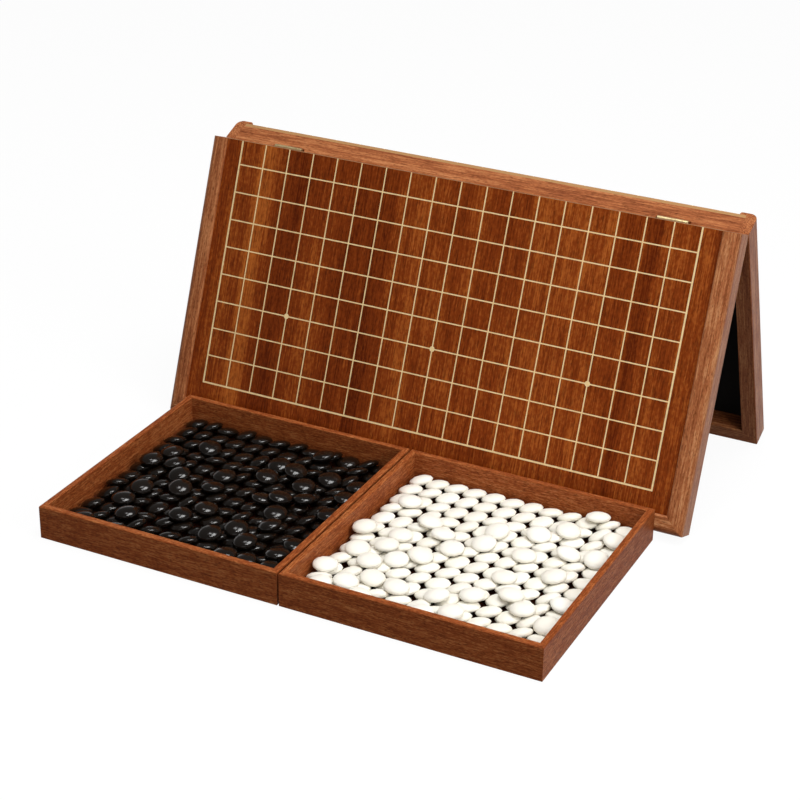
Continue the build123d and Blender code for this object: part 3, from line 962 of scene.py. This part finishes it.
@dataclass
class Studio:
    """White sweep, soft lamps and the camera at the photograph's viewpoint.

    The floor tone only bounces light. Seen or mirrored, the paper is white and keeps a small
    share of its shading, which shows the shadow. Mirrored rays find white near the horizon
    and a dim ceiling above it.
    """

    floor_side: float = 6.0
    floor_drop: float = 0.1 * MM
    floor_tone: str = "#62605e"
    shadow_share: float = 0.06
    ambient: float = 0.35
    ceiling: float = 0.14
    white_up_to: float = 0.08
    dim_from: float = 0.38
    lens_mm: float = 92.78
    sensor_mm: float = 36.0
    camera_place: tuple[float, float, float] = (0.62859, -1.29470, 0.79193)
    camera_yaw: float = 0.4574829
    camera_pitch: float = -0.4641603
    camera_roll: float = 0.0156287
    nearest_seen: float = 0.01
    farthest_seen: float = 50.0

    LAMPS = (
        Lamp("overhead_softbox", (0.3, 0.05, 1.6), (0.0, 0.0, 0.05), 0.65, 13.0),
        Lamp("right_softbox", (1.15, -0.45, 0.85), (0.0, 0.0, 0.1), 0.6, 8.4, mirrored=False),
        Lamp("front_softbox", (0.3, -2.0, 1.1), (0.0, 0.0, 0.1), 1.2, 2.0),
        Lamp("left_spot", (0.14, -0.62, 1.7), (0.0, -0.1, 0.0), 0.16, 2.2),
        Lamp("right_spot", (0.41, -0.49, 1.7), (0.0, -0.1, 0.0), 0.16, 2.2),
        Lamp("hinge_spot", (-0.45, 0.1, 1.7), (0.0, 0.1, 0.2), 0.3, 2.0),
    )

    def seen_share(self, tree: bpy.types.NodeTree) -> Socket:
        """Tell rays that show the white background: straight, mirrored or through glass.

        Args:
            tree: node tree of the floor or the world.

        Returns:
            One for such a ray and nought for any other.
        """
        path = add_node(tree, "LightPath")
        mirrored = add_node(tree, "Math", {0: path.outputs["Is Camera Ray"],
                                           1: path.outputs["Is Glossy Ray"]}, operation="MAXIMUM")
        return add_node(tree, "Math", {0: mirrored.outputs[0], 1: path.outputs["Is Transmission Ray"]},
                        operation="MAXIMUM").outputs[0]

    def lay_floor(self) -> None:
        """Lay a pale floor that looks white but keeps a part of the shadow."""
        shape = bmesh.new()
        bmesh.ops.create_grid(shape, x_segments=1, y_segments=1, size=self.floor_side / 2)
        bmesh.ops.translate(shape, vec=(0, 0, -self.floor_drop), verts=shape.verts)
        material = bpy.data.materials.new("matt_white_paper_sweep")
        tree = blank_tree(material)
        seen = self.seen_share(tree)
        paper = add_node(tree, "Mix", {0: seen, 6: linear(self.floor_tone), 7: (1, 1, 1, 1)},
                         data_type="RGBA")
        lit = add_node(tree, "BsdfDiffuse", {"Color": paper.outputs[2]})
        white = add_node(tree, "Emission", {"Color": (1, 1, 1, 1), "Strength": 1.0})
        share = add_node(tree, "Math", {0: seen, 1: 1 - self.shadow_share}, operation="MULTIPLY")
        mixed = add_node(tree, "MixShader", {0: share.outputs[0], 1: lit.outputs[0], 2: white.outputs[0]})
        add_node(tree, "OutputMaterial", {"Surface": mixed.outputs[0]})
        finished_piece(shape, "paper_sweep", material)

    def light_world(self) -> None:
        """White where it is seen and an even dim fill otherwise. Mirrored rays find a dim ceiling."""
        world = bpy.data.worlds.new("studio")
        bpy.context.scene.world = world
        tree = blank_tree(world)
        path = add_node(tree, "LightPath")
        direction = add_node(tree, "SeparateXYZ", {0: add_node(tree, "TexCoord").outputs["Generated"]})
        mirrored = add_node(tree, "MapRange", {
            "Value": direction.outputs["Z"], "From Min": self.white_up_to, "From Max": self.dim_from,
            "To Min": 1.0, "To Max": self.ceiling}, interpolation_type="SMOOTHSTEP")
        sweep = add_node(tree, "Mix", {0: path.outputs["Is Camera Ray"], 2: mirrored.outputs[0], 3: 1.0})
        strength = add_node(tree, "Mix", {0: self.seen_share(tree), 2: self.ambient, 3: sweep.outputs[0]})
        glow = add_node(tree, "Background", {"Color": (1, 1, 1, 1), "Strength": strength.outputs[0]})
        add_node(tree, "OutputWorld", {"Surface": glow.outputs[0]})

    def place_camera(self) -> None:
        """Set the camera where the photograph was taken from."""
        yaw, pitch, roll = self.camera_yaw, self.camera_pitch, self.camera_roll
        ahead = Vector((-math.sin(yaw) * math.cos(pitch), math.cos(yaw) * math.cos(pitch), math.sin(pitch)))
        level = Vector((math.cos(yaw), math.sin(yaw), 0))
        upright = level.cross(ahead)
        right = math.cos(roll) * level + math.sin(roll) * upright
        above = math.cos(roll) * upright - math.sin(roll) * level
        camera = bpy.data.cameras.new("photo_camera")
        camera.lens = self.lens_mm
        camera.sensor_width = self.sensor_mm
        camera.clip_start = self.nearest_seen
        camera.clip_end = self.farthest_seen
        holder = bpy.data.objects.new("photo_camera", camera)
        bpy.context.scene.collection.objects.link(holder)
        turn = Matrix((right, above, -ahead)).transposed().to_4x4()
        holder.matrix_world = Matrix.Translation(self.camera_place) @ turn
        bpy.context.scene.camera = holder

    def build(self) -> None:
        """Set up the whole studio."""
        self.lay_floor()
        self.light_world()
        for lamp in self.LAMPS:
            lamp.hang()
        self.place_camera()
        bpy.context.scene.view_settings.view_transform = "Standard"
        log.info("studio is lit")


def main() -> None:
    """Dress and build every piece in order."""
    logging.basicConfig(level=logging.INFO, format="%(name)s: %(message)s")
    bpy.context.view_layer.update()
    Studio().build()

    brass = BrassFinish().material()
    felt = FeltFinish().material()
    maple = InlayFinish().material()
    hinges = Hinges()
    hinges.dress_leaves(brass)
    for half in Half:
        board = BoardHalf(half)
        board.dress_wood()
        board.dress_inlay(maple)
        for piece in (board.line_with_felt(felt), hinges.drive_screws(board, brass)):
            log.info("built %s", piece.name)

    Tray("black_tray", 21.0).dress_wood()
    Tray("white_tray", 31.0).dress_wood()
    black_glass = GlassFinish("black_glass", base="#0d0906", shade="#170f09", roughness=0.15, shine=0.5)
    white_glass = GlassFinish("ivory_white_glass", base="#f7f4ea", shade="#efeadc", roughness=0.42,
                              shine=0.25)
    for heap in (StoneHeap("black_stones", "black_glass", black_glass),
                 StoneHeap("white_stones", "white_glass", white_glass)):
        log.info("built %s", heap.build().name)


if __name__ == "__main__":
    main()
